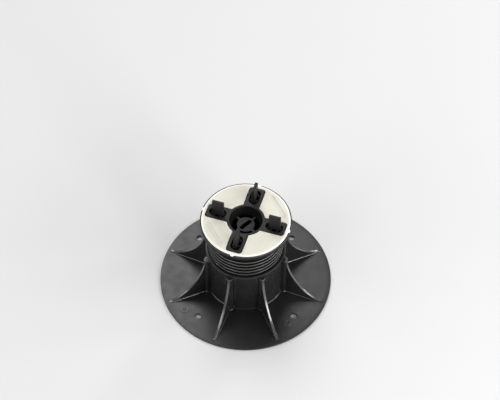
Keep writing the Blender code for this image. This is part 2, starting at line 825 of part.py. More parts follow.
def build_pad(stuff):
    """Soft pad in four fields, tied by a rim, with nubs and two long recesses."""
    low = HEAD_TOP - PAD_T
    disc = spin(
        [
            (0.0, low),
            (PAD_R, low),
            (PAD_R, HEAD_TOP - PAD_EDGE),
            (PAD_R - PAD_EDGE, HEAD_TOP),
            (0.0, HEAD_TOP),
        ],
        SEG_HEAD,
        ring=False,
    )
    pad = to_object("soft_pad", disc)
    nubs = []
    for n in range(4):
        at = HEAD_R - NUB_LONG / 2.0
        outline = round_box(NUB_LONG, NUB_WIDE, NUB_CORNER, 3, at, 0.0)
        nub = prism(outline, HEAD_TOP - NUB_DROP - NUB_T, HEAD_TOP - NUB_DROP)
        nubs.append(turned(nub, n * math.pi / 2.0))
    combine(pad, gather(nubs), "UNION")
    combine(pad, prism(cross_outline(PAD_GAP), low - OVER, HEAD_TOP + OVER), "DIFFERENCE")
    recesses = []
    for n in range(2):
        outline = round_box(RECESS_LONG, RECESS_WIDE, RECESS_WIDE / 2.0, 6)
        cut = turned(prism(outline, HEAD_TOP - RECESS_DEEP, HEAD_TOP + OVER), math.pi / 2.0)
        recesses.append(turned(cut, math.pi / 4.0 + n * math.pi, (RECESS_AT, 0.0, 0.0)))
    combine(pad, gather(recesses), "DIFFERENCE")
    pad.data.transform(Matrix.Rotation(HEAD_TURN, 4, "Z"))
    settle(pad, stuff, (0.0, 0.0, PIVOT_Z), HEAD_TURN)
    return pad


def build_tab(name, turn, play, stuff):
    """Upright spacer tab on a foot with four small pins."""
    low = HEAD_TOP - CROSS_DROP - POCKET_DEEP + GAP
    foot = prism(round_box(FOOT_LONG, FOOT_WIDE, FOOT_WIDE / 2.0, 4), low, low + FOOT_T)
    tab = to_object(name, foot)
    fin = bmesh.new()
    rows = []
    for height, thick, inset in (
        (low + SINK, TAB_THICK, 0.0),
        (low + TAB_TALL - TAB_EDGE, TAB_TIP, 0.0),
        (low + TAB_TALL, TAB_TIP - 2.0 * TAB_EDGE, TAB_EDGE),
    ):
        half_long = TAB_LONG / 2.0 - inset
        half = thick / 2.0
        corners = ((-half_long, -half), (half_long, -half), (half_long, half), (-half_long, half))
        rows.append([fin.verts.new((x, y, height)) for x, y in corners])
    fin.faces.new(list(reversed(rows[0])))
    fin.faces.new(rows[-1])
    join_rows(fin, rows)
    bmesh.ops.recalc_face_normals(fin, faces=fin.faces)
    combine(tab, fin, "UNION")
    pins = []
    for sx in (-1.0, 1.0):
        for sy in (-1.0, 1.0):
            outline = circle(PIN_R, 8, sx * PIN_APART / 2.0, sy * PIN_SIDE)
            pins.append(prism(outline, low + FOOT_T - SINK, low + FOOT_T + PIN_TALL))
    combine(tab, gather(pins), "UNION")
    place = Matrix.Translation((POCKET_AT + play, 0.0, 0.0))
    tab.data.transform(Matrix.Rotation(HEAD_TURN + turn, 4, "Z") @ place)
    settle(tab, stuff, (0.0, 0.0, PIVOT_Z), HEAD_TURN)
    return tab


def build():
    """Every piece, in order from the floor up."""
    clear_scene()
    dark = (0.022, 0.022, 0.023)
    build_base(material("base_plastic", dark, 0.42))
    build_sleeve(material("sleeve_plastic", dark, 0.40))
    build_hub(material("hub_plastic", dark, 0.45))
    build_socket(material("socket_plastic", dark, 0.45))
    build_liner(material("liner_plastic", (0.50, 0.50, 0.48), 0.35))
    build_ball(material("ball_plastic", dark, 0.45))
    build_head(material("head_plastic", dark, 0.50))
    build_pad(material("pad_rubber", (0.84, 0.82, 0.74), 0.60))
    for n, (side, play) in enumerate(TABS):
        stuff = material("tab_" + side + "_plastic", dark, 0.45)
        build_tab("spacer_tab_" + side, n * math.pi / 2.0, play, stuff)


build()
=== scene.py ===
"""Looks of a decking pedestal: a screw jack of black plastic with an ivory pad.

Each piece of the frame is modelled again with rounded edges, fillets and a
smooth thread, at the same size and place, and gets its moulded finish.
Lengths are in metres, Z is up and the floor is at zero.
"""

import math

import bmesh
import bpy
from mathutils import Matrix, Vector
from mathutils.geometry import tessellate_polygon


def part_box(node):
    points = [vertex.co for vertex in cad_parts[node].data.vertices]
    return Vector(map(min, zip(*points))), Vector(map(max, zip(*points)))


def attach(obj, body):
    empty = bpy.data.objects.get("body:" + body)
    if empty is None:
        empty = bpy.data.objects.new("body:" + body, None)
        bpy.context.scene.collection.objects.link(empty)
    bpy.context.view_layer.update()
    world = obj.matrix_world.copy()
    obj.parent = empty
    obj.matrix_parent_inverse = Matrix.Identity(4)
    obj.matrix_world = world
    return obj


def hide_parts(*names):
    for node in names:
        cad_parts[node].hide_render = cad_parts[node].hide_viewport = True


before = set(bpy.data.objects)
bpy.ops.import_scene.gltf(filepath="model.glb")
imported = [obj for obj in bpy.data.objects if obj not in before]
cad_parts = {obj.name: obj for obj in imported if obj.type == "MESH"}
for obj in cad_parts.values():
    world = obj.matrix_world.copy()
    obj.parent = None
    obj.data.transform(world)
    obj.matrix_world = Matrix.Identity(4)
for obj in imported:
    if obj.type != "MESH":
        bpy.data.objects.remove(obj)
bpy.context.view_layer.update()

# Sizes read from the frame
PLATE_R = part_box("ribbed_base")[1].x
TUBE_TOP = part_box("ribbed_base")[1].z
SLEEVE_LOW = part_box("threaded_sleeve")[0].z
SLEEVE_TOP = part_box("threaded_sleeve")[1].z
HEAD_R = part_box("head_plate")[1].x
HEAD_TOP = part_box("soft_pad")[1].z
TAB_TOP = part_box("spacer_tab_right")[1].z

# How finely round forms are divided
SEG = 160
SEG_ROUND = 96
SEG_SMALL = 40
SEG_PIN = 24

# Clearances, edge radii, and how far pieces sink into and cutters reach past one another
GAP = 0.0003
BALL_GAP = 0.0004
EDGE = 0.0004
FINE_EDGE = 0.00025
FIRM_EDGE = 0.0006
SINK = 0.0004
CUT_PAST = 0.0010

# Angles, and the share of an edge that a fillet may take
QUARTER = math.pi / 2.0
BLUNT = math.radians(150.0)
EDGE_SHARE = 0.45

# Mesh tolerances
ON_AXIS = 1e-9
SAME_POINT = 1e-7
SLIVER = 1e-6
WELD = 2e-6

# Base
PLATE_T = 0.0027
RIM_BAND = 0.0055
RIM_FALL = 0.0005
TUBE_OUT = 0.0459
TUBE_WALL = 0.0025
BORE = TUBE_OUT - TUBE_WALL
FOOT_FILLET = 0.0010
DRAIN_R = 0.008
RIB_COUNT = 8
RIB_FIRST = math.radians(22.5)
RIB_THICK = 0.0027
RIB_FLARE = 0.0010
RIB_TIP_R = PLATE_R - 0.0045
RIB_TIP_TALL = 0.0011
RIB_ROOT_R = TUBE_OUT + 0.0048
RIB_ROOT_Z = TUBE_TOP - 0.0056
RIB_POWER = 1.66
RIB_STEPS = 44
RIB_CROWD = 0.45
RIB_FOOT_SHARE = 0.6
RIB_EDGE_SHARE = 0.5
COLUMN_R = 0.0039
COLUMN_AT = TUBE_OUT + 0.0013
COLUMN_TOP = TUBE_TOP - 0.0021
RIB_LEVEL_R = COLUMN_AT + 0.9 * COLUMN_R
HOLE_AT = PLATE_R - 0.0221
HOLE_R = 0.0034
MARK_R = 0.0040
MARK_WIDE = 0.0007
MARK_RISE = 0.0004
MARK_ROUND = 0.0002
MARKS = (
    (PLATE_R - 0.0153, math.radians(-146.6)),
    (PLATE_R - 0.0190, math.radians(-53.8)),
)

# Thread, and the level rings that close its wound walls
PITCH = 0.0057
THREAD_FIT = 0.00035
CREST_R = BORE - 0.0005
THREAD_DEEP = 0.0020
ROOT_R = CREST_R - THREAD_DEEP
CREST_WIDE = 0.0017
FLANK = 0.0008
GROOVE_WIDE = PITCH - CREST_WIDE - 2.0 * FLANK
THREAD_START = 0.0680
THREAD_ROUND = 0.0005
FADE_PART = 6
SLEEVE_TURNS = 8.5
SLEEVE_TURNS_DOWN = 4.0
SLEEVE_RING = 0.0010
TUBE_TURNS = 3.0
TUBE_TURNS_DOWN = 5.0
TUBE_RING_HIGH = 0.0012
TUBE_RING_LOW = 0.0010

# Ball joint
PIVOT_Z = 0.1040
SLEEVE_WALL = 0.0023
SLEEVE_IN = ROOT_R - SLEEVE_WALL
BALL_WALL = 0.0020
LINER_T = 0.0012
LINER_ROUND = 0.0002
SOCKET_WALL = 0.0022
SPIGOT_WALL = 0.0018
SPIGOT_DEEP = 0.0060
SPIGOT_ROOM = 0.0033
FLANGE_T = 0.0020
SOCKET_OUT = SLEEVE_IN - GAP - SPIGOT_WALL - SPIGOT_ROOM
SOCKET_IN = SOCKET_OUT - SOCKET_WALL
LINER_OUT = SOCKET_IN - BALL_GAP
LINER_IN = LINER_OUT - LINER_T
BALL_R = LINER_IN - BALL_GAP
BALL_MOUTH = 0.74 * BALL_R
LINER_MOUTH = 0.78 * BALL_R
SOCKET_MOUTH = 0.71 * BALL_R
BALL_FLANGE = 0.0026
BALL_FLANGE_T = 0.0016
WEB_ROOM = 0.0007
WEB_TOP = PIVOT_Z - math.sqrt(SOCKET_OUT ** 2 - SOCKET_MOUTH ** 2) - WEB_ROOM
WEB_T = 0.0025

# Cup in the head, key hub at its foot, and keys and slot of the hub
CUP_R = 0.648 * BALL_R
CUP_DEEP = 0.0090
CUP_FOOT_R = 0.824 * CUP_R
HUB_PLAY = 0.0006
HUB_R = CUP_FOOT_R - HUB_PLAY
HUB_T = 0.0018
DISC_R = 0.678 * HUB_R
SPOKE = 0.0030
STEM_R = DISC_R - 0.0002
STEM_WALL = 0.0016
STEM_DEEP = 0.0060
BOSS_WALL = 0.0030
SLOT_LONG = 1.08 * HUB_R
SLOT_WIDE = 0.0048
SLOT_CORNER = 0.0016
HUB_TURN = math.radians(43.0)
KEY_WIDE = 0.0026
KEY_OUT = 0.0016
KEY_RISE = 0.0010
KEY_CORNER = 0.0004

# Head plate and pad
HEAD_TURN = math.radians(-18.0)
HEAD_T = 0.0024
LIP_WIDE = 0.0011
LIP_DROP = 0.0008
PAD_T = 0.0023
CROSS_DROP = 0.0002
SKIRT_T = 0.0020
SKIRT_LOW = HEAD_TOP - 0.0062
CUP_WALL = 0.0019
CUP_LOW = PIVOT_Z - 0.0035
CUP_STOCK = 0.0010
CUP_STOCK_DROP = 0.0008
RING_R = CUP_R + CUP_WALL
PAD_R = HEAD_R - LIP_WIDE - GAP
ARM_HALF = 0.0086
ARM_REACH = PAD_R - 0.0046
ARM_CORNER = 0.0028
POCKET_NEAR = RING_R + 0.0025
POCKET_FAR = ARM_REACH - 0.0024
POCKET_LONG = POCKET_FAR - POCKET_NEAR
POCKET_AT = (POCKET_FAR + POCKET_NEAR) / 2.0
POCKET_WIDE = 0.0110
POCKET_DEEP = 0.0045
POCKET_WALL = 0.0015
PAD_GAP = 0.0008
PAD_EDGE = 0.0005
NUB_WIDE = 0.0044
NUB_LONG = 0.0040
NUB_CORNER = 0.0016
NUB_DROP = 0.0002
NUB_T = 0.0012
NOTCH_ROOM = 0.0003
NOTCH_CORNER = 0.0003
RECESS_LONG = 0.69 * PAD_R
RECESS_WIDE = 0.0050
RECESS_AT = PAD_R - 0.0100
RECESS_DEEP = 0.0006

# Spacer tab
TAB_LONG = 0.70 * POCKET_LONG
TAB_THICK = 0.0036
TAB_TIP = 0.0032
TAB_CORNER = 0.0004
TAB_ROUND = 0.0005
TAB_LOW = HEAD_TOP - CROSS_DROP - POCKET_DEEP + GAP
FOOT_PLAY = 0.0011
FOOT_LONG = POCKET_LONG - 2.0 * FOOT_PLAY
FOOT_WIDE = POCKET_WIDE - 0.0018
FOOT_T = 0.0014
PIN_R = 0.0012
PIN_TALL = 0.0024
PIN_APART = 0.55 * TAB_LONG
PIN_SIDE = 0.0030
SHIFT = FOOT_PLAY / 2.0
TABS = (("right", SHIFT), ("back", -SHIFT), ("left", -SHIFT), ("front", -SHIFT))

# Camera, from the photograph's own perspective
LENS = 106.68
SENSOR = 36.0
CAMERA_AT = Vector((-0.0060, -0.9738, 1.4469))
CAMERA_DOWN = math.radians(53.07)
CAMERA_YAW = math.radians(0.615)
CAMERA_ROLL = math.radians(0.4265)
CLIP_END = 50.0

# Looks: linear colours, noise scales in cells per metre
# painted shade: near-black colour laid in the thread groove, head pockets, pad gap, lip top, skirt
# and tab feet
PAINTED_SHADE = (0.006, 0.006, 0.006)
# painted shade inside the head's cup
CUP_PAINTED_SHADE = (0.007, 0.007, 0.007)
BASE_DARK = (0.011, 0.011, 0.0115)
BASE_LIGHT = (0.018, 0.0175, 0.017)
# painted highlight: pale colour laid along the rib top edges
RIB_PAINTED_HIGHLIGHT = (0.060, 0.059, 0.057)
# painted highlight: pale colour laid along the thread crest
CREST_PAINTED_HIGHLIGHT = (0.052, 0.051, 0.049)
# painted highlight: pale colour laid on the outer edge of the head's lip
LIP_PAINTED_HIGHLIGHT = (0.040, 0.039, 0.038)
# painted highlight: paler colour laid along the pad's outer edge
PAD_RIM_PAINTED_HIGHLIGHT = (0.98, 0.97, 0.90)
RECESS_FLOOR = (0.70, 0.68, 0.60)
COLOUR_CLOUDS = 45.0
GLOSS_CLOUDS = 120.0
PLASTIC_GRAIN = 2600.0
RUBBER_GRAIN = 3200.0
GRAIN_DEEP = 0.0001
NOISE_LOW = 0.3
NOISE_HIGH = 0.7
GLOSS_BELOW = 0.04
GLOSS_ABOVE = 0.05
FULL_SHINE = 1.00
BASE_SHINE = 0.50
HEAD_SHINE = 0.24
# reflection strength where painted shade lies
PAINTED_SHADE_SHINE = 0.08
GROOVE_SHINE = 0.05
SMOOTH_SHARE = 0.58
# share of the painted shade laid on the head's skirt
SKIRT_PAINTED_SHADE = 0.6

# Plain finishes: name, dark and light colour, roughness, grain strength and shine
PLAIN = (
    ("hub_black", (0.012, 0.012, 0.012), (0.018, 0.0178, 0.0175), 0.48, 0.10, 0.27),
    ("black_plastic", (0.015, 0.015, 0.0155), (0.022, 0.0215, 0.021), 0.42, 0.10, 0.50),
    ("liner_grey", (0.46, 0.46, 0.44), (0.52, 0.52, 0.50), 0.35, 0.05, 0.50),
    ("ball_black", (0.006, 0.006, 0.006), (0.010, 0.010, 0.010), 0.55, 0.10, 0.15),
)

# Heights, radii and a depth, at which a change of finish begins and is complete
OVER_PLATE = (PLATE_T + 0.00004, PLATE_T + 0.0003)
NEAR_FOOT = (TUBE_OUT + FOOT_FILLET + 0.0010, TUBE_OUT + FOOT_FILLET)
BELOW_RIM = (TUBE_TOP - 0.0010, TUBE_TOP - 0.0030)
UNDER_RIB_TOP = (0.0009, 0.0003)
BEYOND_TUBE = (RIB_ROOT_R - 0.0010, RIB_ROOT_R + 0.0005)
WITHIN_TIP = (RIB_TIP_R + 0.0005, RIB_TIP_R - 0.0020)
ON_CREST = (CREST_R - 0.0004, CREST_R - 0.0001)
IN_GROOVE = (CREST_R - 0.0003, CREST_R - 0.0008)
SLEEVE_SIDE = (ROOT_R - 0.0006, ROOT_R - 0.0003)
UNDER_HEAD_TOP = (HEAD_TOP - 0.0003, HEAD_TOP - 0.0007)
INSIDE_HEAD = (HEAD_R - 0.0001, HEAD_R - 0.0004)
HEAD_SIDE = (HEAD_R - 0.0004, HEAD_R - 0.0001)
BEYOND_CUP = (CUP_R, CUP_R + 0.0010)
IN_CUP = (CUP_R + 0.0004, CUP_R - 0.0004)
LIP_SIDE = (HEAD_TOP - LIP_DROP - 0.0009, HEAD_TOP - LIP_DROP - 0.0007)
TAB_FOOT = (TAB_LOW + FOOT_T + PIN_TALL - 0.0008, TAB_LOW + FOOT_T)
PAD_BORDER = (PAD_R - 0.0026, PAD_R - 0.0014)
WITHIN_BORDER = (PAD_R - 0.0026, PAD_R - 0.0036)
RECESS_LOW = (HEAD_TOP - 0.7 * RECESS_DEEP, HEAD_TOP - 0.95 * RECESS_DEEP)

# Stage
FLOOR_HALF = 3.0
FLOOR_Z = -0.0002
FLOOR_PALE = 0.74
FLOOR_ROUGH = 0.9
WORLD_STRENGTH = 0.12
LAMP_AIM = Vector((0.0, 0.0, 0.06))

# Each lamp's name, azimuth and elevation in degrees, distance, width, height and watts
LAMPS = (
    ("back_box", 107.0, 53.0, 2.0, 1.2, 1.2, 19.5),
    ("right_strip", 12.0, 26.0, 1.7, 0.16, 1.1, 4.5),
    ("back_right_strip", 58.0, 22.0, 1.7, 0.16, 1.0, 6.0),
    ("front_right_strip", -54.0, 17.0, 1.7, 0.34, 1.0, 14.0),
    ("right_wide_strip", -22.0, 24.0, 1.7, 1.2, 0.45, 15.0),
    ("left_strip", 168.0, 26.0, 1.7, 0.16, 1.1, 2.0),
    ("front_left_strip", -130.0, 34.0, 1.7, 0.35, 1.2, 5.0),
    ("left_wide_strip", -158.0, 23.0, 1.7, 1.2, 0.20, 8.0),
)


# Outlines

def arc(cx, cy, radius, start, end, steps):
    """Points along an arc, both ends included."""
    points = []
    for i in range(steps + 1):
        a = start + (end - start) * i / steps
        points.append((cx + radius * math.cos(a), cy + radius * math.sin(a)))
    return points


def circle(radius, seg, x=0.0, y=0.0):
    """Corner points of a round outline."""
    return arc(x, y, radius, 0.0, 2.0 * math.pi, seg)[:-1]


def round_box(long, wide, corner, steps, cx=0.0, cy=0.0):
    """A rectangle with round corners; a corner of half the width makes a stadium."""
    half_long = long / 2.0 - corner
    half_wide = wide / 2.0 - corner
    points = []
    for n, (sx, sy) in enumerate(((1, 1), (-1, 1), (-1, -1), (1, -1))):
        centre = (cx + sx * half_long, cy + sy * half_wide)
        points += arc(*centre, corner, n * QUARTER, (n + 1) * QUARTER, steps)
    kept = []
    for p in points:
        if not kept or math.dist(p, kept[-1]) > SLIVER:
            kept.append(p)
    if math.dist(kept[0], kept[-1]) < SLIVER:
        kept.pop()
    return kept


def cross_outline(grow):
    """The head's four arms and the ring round its cup, grown by a gap."""
    half = ARM_HALF + grow
    reach = ARM_REACH + grow
    corner = ARM_CORNER + grow
    ring = RING_R + grow
    meet = math.asin(half / ring)
    points = []
    for arm in range(4):
        local = arc(reach - corner, -half + corner, corner, -QUARTER, 0.0, steps=8)
        local += arc(reach - corner, half - corner, corner, 0.0, QUARTER, steps=8)
        local += arc(0.0, 0.0, ring, meet, QUARTER - meet, steps=12)
        c = math.cos(arm * QUARTER)
        s = math.sin(arm * QUARTER)
        points += [(c * x - s * y, s * x + c * y) for x, y in local]
    return points


def inset(outline, amount):
    """An anticlockwise outline moved inward, or outward for a negative amount."""
    moved = []
    count = len(outline)
    for i in range(count):
        here = Vector(outline[i])
        along = (here - Vector(outline[i - 1])).normalized()
        after = (Vector(outline[(i + 1) % count]) - here).normalized()
        first = Vector((-along.y, along.x))
        second = Vector((-after.y, after.x))
        step = (first + second) * (amount / (1.0 + first.dot(second)))
        moved.append(tuple(here + step))
    return moved


def fillet(points, radius, ring=True, steps=3):
    """Round the corners of a section; an open section keeps its two ends."""
    made = []
    count = len(points)
    for i in range(count):
        here = Vector(points[i])
        if not ring and i in (0, count - 1):
            made.append(tuple(here))
            continue
        before = Vector(points[i - 1]) - here
        after = Vector(points[(i + 1) % count]) - here
        opening = before.angle(after)
        if opening > BLUNT:
            made.append(tuple(here))
            continue
        longest = EDGE_SHARE * min(before.length, after.length)
        reach = min(radius / math.tan(opening / 2.0), longest)
        start = here + before.normalized() * reach
        end = here + after.normalized() * reach
        for n in range(steps + 1):
            share = n / steps
            made.append(tuple(start.lerp(here, share).lerp(here.lerp(end, share), share)))
    return made


# Solids

def finish_body(body):
    """Faces out, and points that coincide made one."""
    bmesh.ops.remove_doubles(body, verts=body.verts, dist=SAME_POINT)
    bmesh.ops.recalc_face_normals(body, faces=body.faces)
    return body


def spin(profile, seg=SEG, ring=True):
    """A solid of revolution; a point on the axis becomes one vertex."""
    body = bmesh.new()
    rows = []
    for radius, height in profile:
        if radius < ON_AXIS:
            rows.append([body.verts.new((0.0, 0.0, height))] * seg)
        else:
            rows.append(ring_row(body, seg, radius, height))
    pairs = list(zip(rows, rows[1:]))
    if ring:
        pairs.append((rows[-1], rows[0]))
    for low, high in pairs:
        for step in range(seg):
            after = (step + 1) % seg
            corners = []
            for v in (low[step], low[after], high[after], high[step]):
                if v not in corners:
                    corners.append(v)
            if len(corners) > 2:
                body.faces.new(corners)
    return finish_body(body)


def ring_row(body, seg, radius, height):
    """One level ring of vertices."""
    return [body.verts.new((x, y, height)) for x, y in circle(radius, seg)]


def join_rows(body, rows):
    """Bridge closed rows of vertices one after another."""
    for low, high in zip(rows, rows[1:]):
        count = len(low)
        for step in range(count):
            after = (step + 1) % count
            body.faces.new((low[step], low[after], high[after], high[step]))


def cap(body, loops):
    """Close a level end that may have holes."""
    corners = [v for loop in loops for v in loop]
    for triangle in tessellate_polygon([[v.co for v in loop] for loop in loops]):
        body.faces.new([corners[i] for i in triangle])


def levels(low, high, under=0.0, over=0.0, steps=3):
    """Heights of a slab with rounded edges, each with how far it draws in."""
    made = []
    for n in range(steps + 1 if under else 1):
        a = QUARTER * (1.0 - n / steps) if under else 0.0
        made.append((low + under * (1.0 - math.sin(a)), under * (1.0 - math.cos(a))))
    for n in range(steps + 1 if over else 1):
        a = QUARTER * n / steps if over else QUARTER
        made.append((high - over * (1.0 - math.sin(a)), over * (1.0 - math.cos(a))))
    return made


def slab(outer, heights, holes=()):
    """A flat outline with holes raised through a list of heights and insets."""
    body = bmesh.new()
    lows = []
    highs = []
    for n, outline in enumerate([outer, *holes]):
        side = 1.0 if n == 0 else -1.0
        rows = []
        for height, amount in heights:
            points = inset(outline, side * amount)
            rows.append([body.verts.new((x, y, height)) for x, y in points])
        join_rows(body, rows)
        lows.append(rows[0])
        highs.append(rows[-1])
    cap(body, lows)
    cap(body, highs)
    return finish_body(body)


def flare(outline, low, surface, edge):
    """A cutter that leaves a rounded edge where it meets the surface."""
    heights = [(low, 0.0)]
    for height, amount in levels(low, surface, 0.0, edge)[1:]:
        heights.append((height, -amount))
    heights.append((surface + 2.0 * CUT_PAST, -edge))
    return slab(outline, heights)


def turned(body, angle, shift=(0.0, 0.0, 0.0)):
    """Move a body by a shift, then turn it about the vertical axis."""
    place = Matrix.Rotation(angle, 4, "Z") @ Matrix.Translation(Vector(shift))
    bmesh.ops.transform(body, matrix=place, verts=body.verts)
    return body


def gather(bodies):
    """Several separate bodies as one mesh."""
    whole = bmesh.new()
    for body in bodies:
        part = bpy.data.meshes.new("piece")
        body.to_mesh(part)
        body.free()
        whole.from_mesh(part)
        bpy.data.meshes.remove(part)
    return whole


def to_object(name, body):
    """A named object from a body."""
    mesh = bpy.data.meshes.new(name)
    body.to_mesh(mesh)
    body.free()
    made = bpy.data.objects.new(name, mesh)
    bpy.context.scene.collection.objects.link(made)
    return made


def combine(target, body, how):
    """Join or cut one solid with another and keep the result as plain mesh."""
    tool = to_object("tool", body)
    step = target.modifiers.new(how.lower(), "BOOLEAN")
    step.operation = how
    step.solver = "EXACT"
    step.object = tool
    bpy.context.view_layer.update()
    graph = bpy.context.evaluated_depsgraph_get()
    mesh = bpy.data.meshes.new_from_object(target.evaluated_get(graph))
    target.modifiers.clear()
    old = target.data
    mesh.name = target.name
    target.data = mesh
    spare = tool.data
    bpy.data.objects.remove(tool, do_unlink=True)
    bpy.data.meshes.remove(old)
    bpy.data.meshes.remove(spare)
    tidy = bmesh.new()
    tidy.from_mesh(target.data)
    bmesh.ops.remove_doubles(tidy, verts=tidy.verts, dist=WELD)
    bmesh.ops.dissolve_degenerate(tidy, edges=tidy.edges, dist=SLIVER)
    tidy.to_mesh(target.data)
    tidy.free()


def settle(made, node, body, stuff, sharp=42.0):
    """Smooth a finished piece, give it its material and let it ride."""
    made.data.materials.clear()
    made.data.materials.append(stuff)
    made.data.shade_smooth()
    made.data.set_sharp_from_angle(angle=math.radians(sharp))
    weigh = made.modifiers.new("weighted_normals", "WEIGHTED_NORMAL")
    weigh.keep_sharp = True
    weigh.weight = 80
    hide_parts(node)
    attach(made, body)
    return made


# Thread surfaces

def thread_wall(body, seg, flat_r, ridge_r, low, turns, section):
    """A wall with a helical ridge that fades out at both ends.

    The section runs over one pitch as (height, part of the ridge). The wall
    is one strip wound round and round, with its edges welded turn to turn.
    """
    steps = int(round(seg * turns))
    fade = seg // FADE_PART
    grid = []
    for i in range(steps + 1):
        a = 2.0 * math.pi * i / seg
        swell = max(0.0, min(1.0, i / fade, (steps - i) / fade))
        row = []
        for k, (height, share) in enumerate(section):
            if k == 0 and i >= seg:
                row.append(grid[i - seg][-1])
                continue
            r = flat_r + (ridge_r - flat_r) * share * swell
            z = low + PITCH * i / seg + height
            row.append(body.verts.new((r * math.cos(a), r * math.sin(a), z)))
        grid.append(row)
    for i in range(steps):
        for k in range(len(section) - 1):
            corners = (grid[i][k], grid[i + 1][k], grid[i + 1][k + 1], grid[i][k + 1])
            body.faces.new(corners)
    return grid, steps


def close_low(body, grid, seg, ring):
    """Fill from the wound strip's first turn down to a level ring."""
    for i in range(seg - 1):
        body.faces.new((grid[i][0], ring[i], ring[i + 1], grid[i + 1][0]))
    body.faces.new([grid[seg - 1][0], ring[seg - 1], ring[0], *grid[0]])


def close_high(body, grid, steps, seg, ring):
    """Fill from the wound strip's last turn up to a level ring."""
    for i in range(steps - seg, steps):
        a = i % seg
        b = (i + 1) % seg
        if i == steps - seg:
            corners = [*reversed(grid[steps]), grid[i + 1][-1], ring[b], ring[a]]
        else:
            corners = [grid[i][-1], grid[i + 1][-1], ring[b], ring[a]]
        body.faces.new(corners)


def ridge_section(flank, flat, pitch, deep):
    """One pitch of thread with its corners rounded, as (height, part of the ridge)."""
    points = [
        (0.0, 0.0),
        (flank, deep),
        (flank + flat, deep),
        (2.0 * flank + flat, 0.0),
        (pitch, 0.0),
    ]
    first = fillet(points, THREAD_ROUND, ring=False, steps=3)
    return [(height, depth / deep) for height, depth in first]


# Base

def rib_height(radius):
    """Top edge of a rib: a hollow quarter curve from the tube to the rim."""
    low = PLATE_T + RIB_TIP_TALL
    along = (RIB_TIP_R - radius) / (RIB_TIP_R - RIB_ROOT_R)
    along = min(1.0, max(0.0, along))
    fall = (1.0 - along ** RIB_POWER) ** (1.0 / RIB_POWER)
    return low + (RIB_ROOT_Z - low) * (1.0 - fall)


def rib():
    """One thin rib along +X, with a rounded top edge and a flared foot."""
    body = bmesh.new()
    rows = []
    half = RIB_THICK / 2.0
    for i in range(RIB_STEPS):
        share = i / (RIB_STEPS - 1)
        crowded = (1.0 - RIB_CROWD) * share + RIB_CROWD * share * share
        radius = COLUMN_AT + (RIB_TIP_R - COLUMN_AT) * crowded
        top = rib_height(max(radius, RIB_LEVEL_R))
        tall = top - PLATE_T
        foot = min(RIB_FLARE, RIB_FOOT_SHARE * tall)
        crest = min(FIRM_EDGE, RIB_EDGE_SHARE * tall)
        side = [(half + foot, PLATE_T - RIM_FALL - SINK)]
        side += arc(half + foot, PLATE_T + foot, foot, -QUARTER, -math.pi, steps=4)
        side += arc(half - crest, top - crest, crest, 0.0, QUARTER, steps=4)
        mirrored = [(-x, z) for x, z in reversed(side)]
        rows.append([body.verts.new((radius, x, z)) for x, z in side + mirrored])
    join_rows(body, rows)
    body.faces.new(rows[0])
    body.faces.new(rows[-1])
    return finish_body(body)


def column():
    """Round boss at a rib's root, with a fillet at its foot and a flat top."""
    foot = RIB_FLARE
    profile = [(0.0, PLATE_T - SINK), (COLUMN_R + foot, PLATE_T - SINK)]
    profile += arc(COLUMN_R + foot, PLATE_T + foot, foot, -QUARTER, -math.pi, steps=4)
    corner = (COLUMN_R - FIRM_EDGE, COLUMN_TOP - FIRM_EDGE)
    profile += arc(*corner, FIRM_EDGE, 0.0, QUARTER, steps=4)
    profile += [(0.0, COLUMN_TOP)]
    return turned(spin(profile, SEG_SMALL, ring=False), 0.0, (COLUMN_AT, 0.0, 0.0))


